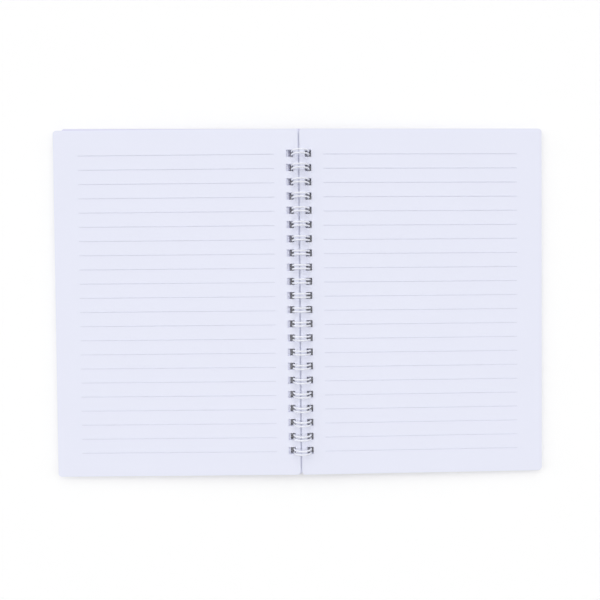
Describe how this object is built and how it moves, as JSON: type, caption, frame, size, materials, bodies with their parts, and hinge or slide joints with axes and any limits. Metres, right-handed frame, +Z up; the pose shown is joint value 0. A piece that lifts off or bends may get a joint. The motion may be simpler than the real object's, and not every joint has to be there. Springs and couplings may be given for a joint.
{
  "type": "open spiral notebook",
  "caption": "Ruled A5 notebook lying open on a white twin-loop wire, its leaves in halves that slope gently from the spine to the fore edges, with card covers beneath.",
  "frame": {"origin": "on the table, straight below the middle of the spine", "axes": "+X to the right across both pages, +Y up the page along the spine, +Z up from the table"},
  "size_m": [0.2931, 0.2096, 0.0111],
  "materials": {
    "coated_wire": "white satin coating on steel wire",
    "cover_card": "plain matt card",
    "paper": "uncoated writing paper with pale grey ruled lines"
  },
  "bodies": {
    "wire": {"twin_loop_wire": "coated_wire"},
    "front_cover": {"front_cover": "cover_card"},
    "left_leaves": {"left_pages": "paper"},
    "right_leaves": {"right_pages": "paper"},
    "back_cover": {"back_cover": "cover_card"}
  },
  "joints": [
    {"name": "front_cover_turn", "type": "hinge", "parent": "wire", "child": "front_cover", "pos_m": [0, 0, 0.00555], "axis": [0, 1, 0], "range_deg": [0, 181.7]},
    {"name": "left_leaves_turn", "type": "hinge", "parent": "front_cover", "child": "left_leaves", "pos_m": [0, 0, 0.00555], "axis": [0, 1, 0], "range_deg": [0, 178.3]},
    {"name": "back_cover_turn", "type": "hinge", "parent": "wire", "child": "back_cover", "pos_m": [0, 0, 0.00555], "axis": [0, -1, 0], "range_deg": [0, 181.7]},
    {"name": "right_leaves_turn", "type": "hinge", "parent": "back_cover", "child": "right_leaves", "pos_m": [0, 0, 0.00555], "axis": [0, -1, 0], "range_deg": [0, 178.3]}
  ]
}
